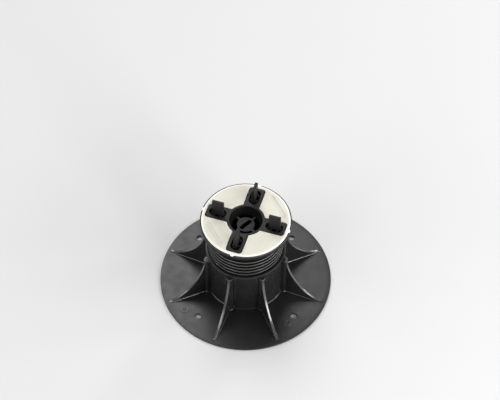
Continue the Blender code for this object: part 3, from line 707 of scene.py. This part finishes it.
def make_base(stuff):
    """Plate, tube with its inner thread, columns, ribs and fixing holes."""
    ridge_in = ROOT_R + THREAD_FIT
    widen = FLANK * (BORE - ridge_in) / THREAD_DEEP
    tip = GROOVE_WIDE + 2.0 * FLANK * (ridge_in - ROOT_R) / THREAD_DEEP - 2.0 * THREAD_FIT
    groove = THREAD_START + CREST_WIDE / 2.0 + FLANK + PITCH / 2.0
    low = groove - PITCH * TUBE_TURNS_DOWN - tip / 2.0 - widen
    section = ridge_section(widen, tip, PITCH, BORE - ridge_in)
    body = bmesh.new()
    grid, steps = thread_wall(body, SEG, BORE, ridge_in, low, TUBE_TURNS, section)
    chain = [(BORE, TUBE_TOP - TUBE_RING_HIGH), (BORE, TUBE_TOP), (TUBE_OUT, TUBE_TOP)]
    corner = (TUBE_OUT + FOOT_FILLET, PLATE_T + FOOT_FILLET)
    chain += arc(*corner, FOOT_FILLET, math.pi, 3.0 * QUARTER, steps=6)
    chain += [
        (PLATE_R - RIM_BAND, PLATE_T),
        (PLATE_R, PLATE_T - RIM_FALL),
        (PLATE_R, 0.0),
        (DRAIN_R, 0.0),
        (DRAIN_R, PLATE_T),
        (BORE, PLATE_T),
        (BORE, low - TUBE_RING_LOW),
    ]
    chain = fillet(chain, FIRM_EDGE, ring=False, steps=4)
    rows = [ring_row(body, SEG, radius, height) for radius, height in chain]
    join_rows(body, rows)
    close_high(body, grid, steps, SEG, rows[0])
    close_low(body, grid, SEG, rows[-1])
    base = to_object("pedestal_base", finish_body(body))
    step = 2.0 * math.pi / RIB_COUNT
    first = RIB_FIRST - QUARTER
    bosses = [turned(column(), first + step * n) for n in range(RIB_COUNT)]
    combine(base, gather(bosses), "UNION")
    ribs = [turned(rib(), first + step * n) for n in range(RIB_COUNT)]
    combine(base, gather(ribs), "UNION")
    holes = []
    for n in range(4):
        a = (n + 0.5) * QUARTER
        outline = circle(HOLE_R, SEG_SMALL, HOLE_AT * math.cos(a), HOLE_AT * math.sin(a))
        holes.append(flare(outline, -CUT_PAST, PLATE_T, EDGE))
    combine(base, gather(holes), "DIFFERENCE")
    rings = []
    for radius, angle in MARKS:
        profile = [
            (MARK_R - MARK_WIDE, PLATE_T - SINK),
            (MARK_R, PLATE_T - SINK),
            (MARK_R, PLATE_T + MARK_RISE),
            (MARK_R - MARK_WIDE, PLATE_T + MARK_RISE),
        ]
        mark = spin(fillet(profile, MARK_ROUND), SEG_SMALL)
        rings.append(turned(mark, angle, (radius, 0.0, 0.0)))
    combine(base, gather(rings), "UNION")
    return settle(base, "ribbed_base", "base", stuff)


# Jack screw

def make_sleeve(stuff):
    """Threaded sleeve, closed by a web that takes the key hub's stem."""
    section = ridge_section(FLANK, CREST_WIDE, PITCH, THREAD_DEEP)
    low = THREAD_START - SLEEVE_TURNS_DOWN * PITCH
    body = bmesh.new()
    grid, steps = thread_wall(body, SEG, ROOT_R, CREST_R, low, SLEEVE_TURNS, section)
    bore = STEM_R + GAP
    boss = bore + BOSS_WALL
    foot = WEB_TOP - WEB_T - STEM_DEEP
    chain = [
        (ROOT_R, SLEEVE_TOP - SLEEVE_RING),
        (ROOT_R, SLEEVE_TOP),
        (SLEEVE_IN, SLEEVE_TOP),
        (SLEEVE_IN, WEB_TOP),
        (bore, WEB_TOP),
        (bore, foot),
        (boss, foot),
        (boss, WEB_TOP - WEB_T),
        (SLEEVE_IN, WEB_TOP - WEB_T),
        (SLEEVE_IN, SLEEVE_LOW),
        (ROOT_R, SLEEVE_LOW),
        (ROOT_R, SLEEVE_LOW + SLEEVE_RING),
    ]
    chain = fillet(chain, EDGE, ring=False)
    rows = [ring_row(body, SEG, radius, height) for radius, height in chain]
    join_rows(body, rows)
    close_high(body, grid, steps, SEG, rows[0])
    close_low(body, grid, SEG, rows[-1])
    sleeve = to_object("jack_sleeve", finish_body(body))
    slots = []
    long = 2.0 * (KEY_OUT + GAP + CUT_PAST)
    for n in range(4):
        outline = round_box(long, KEY_WIDE + 2.0 * GAP, KEY_CORNER, steps=2)
        cut = slab(outline, levels(foot - 2.0 * CUT_PAST, WEB_TOP + 2.0 * CUT_PAST))
        slots.append(turned(cut, HUB_TURN + n * QUARTER, (bore - CUT_PAST, 0.0, 0.0)))
    combine(sleeve, gather(slots), "DIFFERENCE")
    return settle(sleeve, "threaded_sleeve", "screw", stuff)


def make_hub(stuff):
    """Slotted disc on four spokes, with a stem keyed into the sleeve."""
    top = HEAD_TOP - CUP_DEEP
    foot = WEB_TOP - WEB_T - STEM_DEEP
    stem_in = STEM_R - STEM_WALL
    outer_a = math.asin(SPOKE / 2.0 / HUB_R)
    inner_a = math.asin(SPOKE / 2.0 / DISC_R)
    outline = []
    for n in range(4):
        spoke = HUB_TURN + n * QUARTER
        outline += arc(0.0, 0.0, HUB_R, spoke - outer_a, spoke + outer_a, steps=4)
        outline += arc(0.0, 0.0, DISC_R, spoke + inner_a, spoke + QUARTER - inner_a, steps=12)
    turn = Matrix.Rotation(HUB_TURN, 2)
    slot = round_box(SLOT_LONG, SLOT_WIDE, SLOT_CORNER, steps=6)
    slot = [tuple(turn @ Vector(p)) for p in slot]
    disc = slab(outline, levels(top - HUB_T, top, FINE_EDGE, FINE_EDGE), [slot])
    hub = to_object("slotted_hub", disc)
    tube = [
        (stem_in, foot),
        (STEM_R, foot),
        (STEM_R, top - HUB_T + SINK),
        (stem_in, top - HUB_T + SINK),
    ]
    combine(hub, spin(fillet(tube, FINE_EDGE), SEG_ROUND), "UNION")
    keys = []
    for n in range(4):
        outline = round_box(KEY_OUT + SINK, KEY_WIDE, KEY_CORNER, steps=2)
        key = slab(outline, levels(foot + GAP, WEB_TOP + KEY_RISE, 0.0, FINE_EDGE))
        shift = (STEM_R + (KEY_OUT - SINK) / 2.0, 0.0, 0.0)
        keys.append(turned(key, HUB_TURN + n * QUARTER, shift))
    combine(hub, gather(keys), "UNION")
    return settle(hub, "key_hub", "screw", stuff)


# Ball joint

def bowl(outer, inner, mouth, rim_z, steps=14):
    """The outer and the inner curve of a bowl about the pivot, from mouth to rim."""
    mouth_a = math.acos(mouth / outer)
    rim_a = math.asin((PIVOT_Z - rim_z) / outer)
    outside = arc(0.0, PIVOT_Z, outer, -mouth_a, -rim_a, steps)
    mouth_z = PIVOT_Z - outside[0][1]
    rim_a = math.asin((PIVOT_Z - rim_z) / inner)
    inside = arc(0.0, PIVOT_Z, inner, -rim_a, -math.asin(mouth_z / outer), steps)
    return outside, inside


def make_socket(stuff):
    """Bowl that rides on the sleeve's top rim and turns freely in it."""
    flange = SLEEVE_TOP + GAP
    rim = flange + FLANGE_T
    outside, inside = bowl(SOCKET_OUT, SOCKET_IN, SOCKET_MOUTH, rim)
    spigot_low = flange - SPIGOT_DEEP
    spigot_r = SLEEVE_IN - GAP
    roof = flange - SPIGOT_WALL
    profile = [p for p in outside if p[1] < roof - EDGE]
    profile += [
        (math.sqrt(SOCKET_OUT ** 2 - (PIVOT_Z - roof) ** 2), roof),
        (spigot_r - SPIGOT_WALL, roof),
        (spigot_r - SPIGOT_WALL, spigot_low),
        (spigot_r, spigot_low),
        (spigot_r, flange),
        (ROOT_R - GAP, flange),
        (ROOT_R - GAP, rim),
    ]
    profile += inside
    made = to_object("socket_bowl", spin(fillet(profile, EDGE), SEG_ROUND))
    return settle(made, "swivel_socket", "lift", stuff)


def make_liner(stuff):
    """Thin glide liner between the socket and the ball cup."""
    outside, inside = bowl(LINER_OUT, LINER_IN, LINER_MOUTH, PIVOT_Z - LINER_T)
    made = to_object("liner_bowl", spin(fillet(outside + inside, LINER_ROUND), SEG_ROUND))
    return settle(made, "glide_liner", "liner", stuff)


def make_ball(stuff):
    """Ball cup under the head plate, with a flange clipped to the plate."""
    inner = BALL_R - BALL_WALL
    top = SKIRT_LOW - GAP
    outside, inside = bowl(BALL_R, inner, BALL_MOUTH, PIVOT_Z)
    profile = outside + [
        (BALL_R, top - BALL_FLANGE_T),
        (BALL_R + BALL_FLANGE, top - BALL_FLANGE_T),
        (BALL_R + BALL_FLANGE, top),
        (inner, top),
    ] + inside
    made = to_object("ball_bowl", spin(fillet(profile, FINE_EDGE), SEG_ROUND))
    return settle(made, "ball_cup", "ball", stuff)


# Head

def make_head(stuff):
    """Head plate: cross, pockets, tapering cup, rim skirt and pad seat."""
    cross_top = HEAD_TOP - CROSS_DROP
    seat = HEAD_TOP - PAD_T - GAP
    under = seat - HEAD_T
    lip_top = HEAD_TOP - LIP_DROP
    cup_foot = HEAD_TOP - CUP_DEEP
    inner = CUP_FOOT_R - CUP_STOCK
    stock_top = cross_top - CUP_STOCK_DROP
    profile = [
        (inner, CUP_LOW),
        (CUP_FOOT_R + CUP_WALL, CUP_LOW),
        (CUP_FOOT_R + CUP_WALL, cup_foot),
        (RING_R, under),
        (HEAD_R - SKIRT_T, under),
        (HEAD_R - SKIRT_T, SKIRT_LOW),
        (HEAD_R, SKIRT_LOW),
        (HEAD_R, lip_top),
        (HEAD_R - LIP_WIDE, lip_top),
        (HEAD_R - LIP_WIDE, seat),
        (RING_R - CUP_STOCK, seat),
        (RING_R - CUP_STOCK, stock_top),
        (inner, stock_top),
    ]
    head = to_object("cross_head", spin(fillet(profile, EDGE)))
    arms = slab(cross_outline(0.0), levels(seat - SINK, cross_top, 0.0, EDGE))
    combine(head, arms, "UNION")
    blocks = []
    pockets = []
    notches = []
    for n in range(4):
        turn = n * QUARTER
        long = POCKET_LONG + 2.0 * POCKET_WALL
        wide = POCKET_WIDE + 2.0 * POCKET_WALL
        outline = round_box(long, wide, wide / 2.0, 12, POCKET_AT)
        block = slab(outline, levels(SKIRT_LOW, under + SINK, EDGE, 0.0))
        blocks.append(turned(block, turn))
        outline = round_box(POCKET_LONG, POCKET_WIDE, POCKET_WIDE / 2.0, 12, POCKET_AT)
        pockets.append(turned(flare(outline, cross_top - POCKET_DEEP, cross_top, EDGE), turn))
        wide = NUB_WIDE + 2.0 * NOTCH_ROOM
        middle = HEAD_R - NUB_LONG / 2.0 + CUT_PAST
        outline = round_box(NUB_LONG, wide, NOTCH_CORNER, 2, middle)
        low = HEAD_TOP - NUB_DROP - NUB_T - GAP
        notches.append(turned(slab(outline, levels(low, HEAD_TOP + CUT_PAST)), turn))
    combine(head, gather(blocks), "UNION")
    cup = [
        (0.0, CUP_LOW - CUT_PAST),
        (CUP_FOOT_R, CUP_LOW - CUT_PAST),
        (CUP_FOOT_R, cup_foot),
        (CUP_R, cross_top),
        (CUP_R + 2.0 * CUT_PAST, cross_top),
        (CUP_R + 2.0 * CUT_PAST, cross_top + CUT_PAST),
        (0.0, cross_top + CUT_PAST),
    ]
    cup = spin(fillet(cup, FIRM_EDGE, ring=False), ring=False)
    combine(head, gather(pockets + [cup]), "DIFFERENCE")
    combine(head, gather(notches), "DIFFERENCE")
    head.data.transform(Matrix.Rotation(HEAD_TURN, 4, "Z"))
    return settle(head, "head_plate", "head", stuff)


def make_pad(stuff):
    """Soft pad in four fields, tied by a rim, with nubs and two long recesses."""
    heights = levels(HEAD_TOP - PAD_T, HEAD_TOP, 0.0, PAD_EDGE, 4)
    rim = circle(PAD_R, SEG)
    pad = to_object("pad_fields", slab(rim, heights, [cross_outline(PAD_GAP)]))
    nubs = []
    for n in range(4):
        outline = round_box(NUB_LONG, NUB_WIDE, NUB_CORNER, 6, HEAD_R - NUB_LONG / 2.0)
        low = HEAD_TOP - NUB_DROP - NUB_T
        nub = slab(outline, levels(low, HEAD_TOP - NUB_DROP, 0.0, EDGE))
        nubs.append(turned(nub, n * QUARTER))
    combine(pad, gather(nubs), "UNION")
    recesses = []
    for n in range(2):
        outline = round_box(RECESS_LONG, RECESS_WIDE, RECESS_WIDE / 2.0, steps=12)
        cut = turned(flare(outline, HEAD_TOP - RECESS_DEEP, HEAD_TOP, EDGE), QUARTER)
        recesses.append(turned(cut, (2 * n + 0.5) * QUARTER, (RECESS_AT, 0.0, 0.0)))
    combine(pad, gather(recesses), "DIFFERENCE")
    pad.data.transform(Matrix.Rotation(HEAD_TURN, 4, "Z"))
    return settle(pad, "soft_pad", "head", stuff)


def make_tab(name, node, turn, play, stuff):
    """Upright spacer tab on a foot with four small pins."""
    outline = round_box(FOOT_LONG, FOOT_WIDE, FOOT_WIDE / 2.0, steps=10)
    tab = to_object(name, slab(outline, levels(TAB_LOW, TAB_LOW + FOOT_T, 0.0, FINE_EDGE)))
    taper = (TAB_THICK - TAB_TIP) / 2.0
    heights = [(TAB_LOW + SINK, 0.0)]
    for height, amount in levels(TAB_LOW, TAB_TOP, 0.0, TAB_ROUND, 4)[1:]:
        heights.append((height, taper + amount))
    fin = slab(round_box(TAB_LONG, TAB_THICK, TAB_CORNER, steps=3), heights)
    combine(tab, fin, "UNION")
    pins = []
    foot_top = TAB_LOW + FOOT_T
    for sx in (-1.0, 1.0):
        for sy in (-1.0, 1.0):
            outline = circle(PIN_R, SEG_PIN, sx * PIN_APART / 2.0, sy * PIN_SIDE)
            heights = levels(foot_top - SINK, foot_top + PIN_TALL, 0.0, FIRM_EDGE, 4)
            pins.append(slab(outline, heights))
    combine(tab, gather(pins), "UNION")
    turn = Matrix.Rotation(HEAD_TURN + turn, 4, "Z")
    tab.data.transform(turn @ Matrix.Translation((POCKET_AT + play, 0.0, 0.0)))
    return settle(tab, node, "head", stuff)


# Materials

def noise(tree, where, scale, detail=3.0, rough=0.5):
    """Noise in the piece's own coordinates; the scale is in cells per metre."""
    made = tree.nodes.new("ShaderNodeTexNoise")
    made.inputs["Scale"].default_value = scale
    made.inputs["Detail"].default_value = detail
    made.inputs["Roughness"].default_value = rough
    tree.links.new(where, made.inputs["Vector"])
    return made.outputs["Fac"]


def map_range(tree, source, low, high, start, end, kind="LINEAR"):
    """Values from low to high stretched to the range from start to end."""
    made = tree.nodes.new("ShaderNodeMapRange")
    made.interpolation_type = kind
    made.inputs["From Min"].default_value = low
    made.inputs["From Max"].default_value = high
    made.inputs["To Min"].default_value = start
    made.inputs["To Max"].default_value = end
    tree.links.new(source, made.inputs["Value"])
    return made.outputs["Result"]


def spread(tree, source, start, end):
    """The middle of a noise stretched to a range of values."""
    return map_range(tree, source, NOISE_LOW, NOISE_HIGH, start, end)


def rescale(tree, source, start, end):
    """A factor from nought to one stretched to a range of values."""
    return map_range(tree, source, 0.0, 1.0, start, end)


def ramp(tree, source, low, high):
    """Nought at one value of a coordinate, one at another, smooth between."""
    return map_range(tree, source, low, high, 0.0, 1.0, "SMOOTHSTEP")


def math_step(tree, operation, first, second):
    """One arithmetic step on two values, each a socket or a plain number."""
    made = tree.nodes.new("ShaderNodeMath")
    made.operation = operation
    for slot, given in zip(made.inputs, (first, second)):
        if isinstance(given, float):
            slot.default_value = given
        else:
            tree.links.new(given, slot)
    return made.outputs["Value"]


def times(tree, first, *others):
    """Several values multiplied."""
    for other in others:
        first = math_step(tree, "MULTIPLY", first, other)
    return first


def largest(tree, first, *others):
    """The largest of several values."""
    for other in others:
        first = math_step(tree, "MAXIMUM", first, other)
    return first


def height_and_radius(tree):
    """Height above the floor and distance from the jack's axis."""
    place = tree.nodes.new("ShaderNodeTexCoord").outputs["Object"]
    split = tree.nodes.new("ShaderNodeSeparateXYZ")
    tree.links.new(place, split.inputs["Vector"])
    flat = tree.nodes.new("ShaderNodeCombineXYZ")
    tree.links.new(split.outputs["X"], flat.inputs["X"])
    tree.links.new(split.outputs["Y"], flat.inputs["Y"])
    length = tree.nodes.new("ShaderNodeVectorMath")
    length.operation = "LENGTH"
    tree.links.new(flat.outputs["Vector"], length.inputs[0])
    return split.outputs["Z"], length.outputs["Value"]


def retint(tree, factor, colour):
    """Lay another colour over a material's own where a factor says so."""
    slot = tree.nodes["Principled BSDF"].inputs["Base Color"]
    own = slot.links[0].from_socket
    mix = tree.nodes.new("ShaderNodeMix")
    mix.data_type = "RGBA"
    tree.links.new(own, mix.inputs["A"])
    mix.inputs["B"].default_value = (*colour, 1.0)
    tree.links.new(factor, mix.inputs["Factor"])
    tree.links.new(mix.outputs["Result"], slot)


def roughen(tree, factor):
    """Multiply a material's own roughness by a factor."""
    slot = tree.nodes["Principled BSDF"].inputs["Roughness"]
    own = slot.links[0].from_socket
    tree.links.new(times(tree, own, factor), slot)


def reflect(tree, strength):
    """Let a value say how strongly a material mirrors its surroundings."""
    tree.links.new(strength, tree.nodes["Principled BSDF"].inputs["Specular IOR Level"])


def moulded(name, dark, light, rough, bump, shine=0.5, grain=PLASTIC_GRAIN):
    """Moulded plastic or rubber: cloudy colour, uneven gloss and a fine grain."""
    made = bpy.data.materials.new(name)
    made.use_nodes = True
    tree = made.node_tree
    shader = tree.nodes["Principled BSDF"]
    shader.inputs["Specular IOR Level"].default_value = shine
    place = tree.nodes.new("ShaderNodeTexCoord").outputs["Object"]
    cloud = spread(tree, noise(tree, place, COLOUR_CLOUDS, detail=4.0), 0.0, 1.0)
    mix = tree.nodes.new("ShaderNodeMix")
    mix.data_type = "RGBA"
    mix.inputs["A"].default_value = (*dark, 1.0)
    mix.inputs["B"].default_value = (*light, 1.0)
    tree.links.new(cloud, mix.inputs["Factor"])
    tree.links.new(mix.outputs["Result"], shader.inputs["Base Color"])
    uneven = noise(tree, place, GLOSS_CLOUDS)
    gloss = spread(tree, uneven, rough - GLOSS_BELOW, rough + GLOSS_ABOVE)
    tree.links.new(gloss, shader.inputs["Roughness"])
    relief = tree.nodes.new("ShaderNodeBump")
    relief.inputs["Strength"].default_value = bump
    relief.inputs["Distance"].default_value = GRAIN_DEEP
    tree.links.new(noise(tree, place, grain, detail=2.0, rough=0.6), relief.inputs["Height"])
    tree.links.new(relief.outputs["Normal"], shader.inputs["Normal"])
    return made


def rib_edge(tree, height, radius):
    """One along the top edges of the ribs, nought elsewhere."""
    along = map_range(tree, radius, RIB_TIP_R, RIB_ROOT_R, 0.0, 1.0)
    bent = math_step(tree, "POWER", along, RIB_POWER)
    left = math_step(tree, "SUBTRACT", 1.0, bent)
    fall = math_step(tree, "POWER", left, 1.0 / RIB_POWER)
    top = rescale(tree, fall, RIB_ROOT_Z, PLATE_T + RIB_TIP_TALL)
    under = math_step(tree, "SUBTRACT", top, height)
    near_top = ramp(tree, under, *UNDER_RIB_TOP)
    beyond_tube = ramp(tree, radius, *BEYOND_TUBE)
    within_tip = ramp(tree, radius, *WITHIN_TIP)
    return times(tree, near_top, beyond_tube, within_tip)


def base_plastic(name):
    """Black plastic of the base: satin plate and rim, glossier tube and ribs, and a painted
    highlight along the rib top edges.
    """
    made = moulded(name, BASE_DARK, BASE_LIGHT, rough=0.36, bump=0.015)
    tree = made.node_tree
    height, radius = height_and_radius(tree)
    raised = ramp(tree, height, *OVER_PLATE)
    tube = largest(tree, raised, ramp(tree, radius, *NEAR_FOOT))
    smooth = times(tree, tube, ramp(tree, height, *BELOW_RIM))
    roughen(tree, rescale(tree, smooth, 1.0, SMOOTH_SHARE))
    reflect(tree, rescale(tree, smooth, BASE_SHINE, FULL_SHINE))
    # painted highlight: pale colour along the top edges of the ribs
    retint(tree, times(tree, rib_edge(tree, height, radius), raised), RIB_PAINTED_HIGHLIGHT)
    return made


def sleeve_plastic(name):
    """Black plastic of the jack sleeve, with painted shade and weaker reflection down in the
    thread groove, and a painted highlight along the crest.
    """
    made = moulded(name, BASE_DARK, BASE_LIGHT, rough=0.23, bump=0.05)
    tree = made.node_tree
    _, radius = height_and_radius(tree)
    # painted shade: darker colour and weaker reflection down in the thread groove
    groove = times(tree, ramp(tree, radius, *IN_GROOVE), ramp(tree, radius, *SLEEVE_SIDE))
    # painted highlight: pale colour along the thread crest
    retint(tree, ramp(tree, radius, *ON_CREST), CREST_PAINTED_HIGHLIGHT)
    retint(tree, groove, PAINTED_SHADE)
    reflect(tree, rescale(tree, groove, FULL_SHINE, GROOVE_SHINE))
    return made


def head_plastic(name):
    """Black plastic of the head: painted shade in the pockets, in the pad gap, on the lip top, on
    the skirt and inside the cup, and a painted highlight on the lip's outer edge.
    """
    dark = (0.014, 0.0138, 0.0135)
    light = (0.021, 0.0205, 0.020)
    made = moulded(name, dark, light, rough=0.48, bump=0.10, shine=HEAD_SHINE)
    tree = made.node_tree
    height, radius = height_and_radius(tree)
    sunk = ramp(tree, height, *UNDER_HEAD_TOP)
    side = ramp(tree, radius, *HEAD_SIDE)
    # painted shade: pockets, pad gap and lip top below the head's top
    deep = times(tree, sunk, ramp(tree, radius, *INSIDE_HEAD), ramp(tree, radius, *BEYOND_CUP))
    retint(tree, deep, PAINTED_SHADE)
    # painted shade on the skirt under the pad's edge
    skirt = times(tree, sunk, side, SKIRT_PAINTED_SHADE)
    retint(tree, skirt, PAINTED_SHADE)
    # painted shade inside the cup
    in_cup = times(tree, sunk, ramp(tree, radius, *IN_CUP))
    retint(tree, in_cup, CUP_PAINTED_SHADE)
    dull = largest(tree, deep, skirt, in_cup)
    # painted highlight: pale colour and full reflection on the outer edge of the lip
    lip = times(tree, side, ramp(tree, height, *LIP_SIDE))
    retint(tree, lip, LIP_PAINTED_HIGHLIGHT)
    # reflection weakened where painted shade lies and raised on the lip's painted highlight
    reflect(tree, largest(tree, rescale(tree, dull, HEAD_SHINE, PAINTED_SHADE_SHINE), lip))
    return made


def tab_plastic(name):
    """Black plastic of the spacer tabs, with painted shade and weaker reflection towards the foot
    in its pocket.
    """
    dark = (0.012, 0.012, 0.0122)
    light = (0.017, 0.0168, 0.0165)
    made = moulded(name, dark, light, rough=0.50, bump=0.10, shine=HEAD_SHINE)
    tree = made.node_tree
    height, _ = height_and_radius(tree)
    # painted shade: darker colour and weaker reflection low on the tab, in the pocket
    sunk = ramp(tree, height, *TAB_FOOT)
    retint(tree, sunk, PAINTED_SHADE)
    reflect(tree, rescale(tree, sunk, HEAD_SHINE, PAINTED_SHADE_SHINE))
    return made


def pad_rubber(name):
    """Ivory rubber, with a painted highlight along its outer edge, and greyer on the floor of the
    recesses.
    """
    dark = (0.73, 0.705, 0.615)
    light = (0.77, 0.745, 0.655)
    made = moulded(name, dark, light, rough=0.60, bump=0.15, grain=RUBBER_GRAIN)
    tree = made.node_tree
    height, radius = height_and_radius(tree)
    # painted highlight: paler colour along the pad's outer edge
    retint(tree, ramp(tree, radius, *PAD_BORDER), PAD_RIM_PAINTED_HIGHLIGHT)
    within = ramp(tree, radius, *WITHIN_BORDER)
    retint(tree, times(tree, ramp(tree, height, *RECESS_LOW), within), RECESS_FLOOR)
    return made


# Stage

def make_stage():
    """A plain pale floor and an even pale world."""
    body = bmesh.new()
    signs = ((-1, -1), (1, -1), (1, 1), (-1, 1))
    corners = [(FLOOR_HALF * sx, FLOOR_HALF * sy) for sx, sy in signs]
    body.faces.new([body.verts.new((x, y, FLOOR_Z)) for x, y in corners])
    floor = to_object("studio_floor", body)
    paint = bpy.data.materials.new("floor_paint")
    paint.use_nodes = True
    shader = paint.node_tree.nodes["Principled BSDF"]
    shader.inputs["Base Color"].default_value = (FLOOR_PALE, FLOOR_PALE, FLOOR_PALE, 1.0)
    shader.inputs["Roughness"].default_value = FLOOR_ROUGH
    floor.data.materials.append(paint)
    world = bpy.data.worlds.new("studio")
    world.use_nodes = True
    back = world.node_tree.nodes["Background"]
    back.inputs["Color"].default_value = (1.0, 1.0, 1.0, 1.0)
    back.inputs["Strength"].default_value = WORLD_STRENGTH
    bpy.context.scene.world = world


def lamp(name, azimuth, elevation, away, wide, tall, power):
    """A soft lamp aimed at the middle of the pedestal, placed by direction and distance."""
    data = bpy.data.lights.new(name, "AREA")
    data.shape = "RECTANGLE"
    data.size = wide
    data.size_y = tall
    data.energy = power
    made = bpy.data.objects.new(name, data)
    around = math.radians(azimuth)
    above = math.radians(elevation)
    level = away * math.cos(above)
    offset = Vector((level * math.cos(around), level * math.sin(around), away * math.sin(above)))
    made.location = LAMP_AIM + offset
    made.rotation_euler = (-offset).to_track_quat("-Z", "Y").to_euler()
    bpy.context.scene.collection.objects.link(made)


def make_camera():
    """The photograph's viewpoint and frame."""
    data = bpy.data.cameras.new("camera")
    data.sensor_width = SENSOR
    data.lens = LENS
    data.clip_end = CLIP_END
    camera = bpy.data.objects.new("camera", data)
    c = math.cos(CAMERA_DOWN)
    forward = Vector((math.sin(CAMERA_YAW) * c, math.cos(CAMERA_YAW) * c, -math.sin(CAMERA_DOWN)))
    level = Vector((math.cos(CAMERA_YAW), -math.sin(CAMERA_YAW), 0.0))
    above = level.cross(forward)
    right = level * math.cos(CAMERA_ROLL) + above * math.sin(CAMERA_ROLL)
    up = above * math.cos(CAMERA_ROLL) - level * math.sin(CAMERA_ROLL)
    place = Matrix((right, up, -forward)).transposed().to_4x4()
    place.translation = CAMERA_AT
    camera.matrix_world = place
    bpy.context.scene.collection.objects.link(camera)
    bpy.context.scene.camera = camera


def main():
    """Camera, stage and lamps, then every piece from the floor up."""
    make_camera()
    make_stage()
    for given in LAMPS:
        lamp(*given)
    bpy.context.scene.view_settings.view_transform = "Standard"
    hub, socket, liner, ball = [moulded(*given) for given in PLAIN]
    make_base(base_plastic("base_black"))
    make_sleeve(sleeve_plastic("sleeve_black"))
    make_hub(hub)
    make_socket(socket)
    make_liner(liner)
    make_ball(ball)
    make_head(head_plastic("head_black"))
    make_pad(pad_rubber("ivory_rubber"))
    tab_black = tab_plastic("tab_black")
    for n, (side, play) in enumerate(TABS):
        make_tab("tab_" + side, "spacer_tab_" + side, n * QUARTER, play, tab_black)


main()
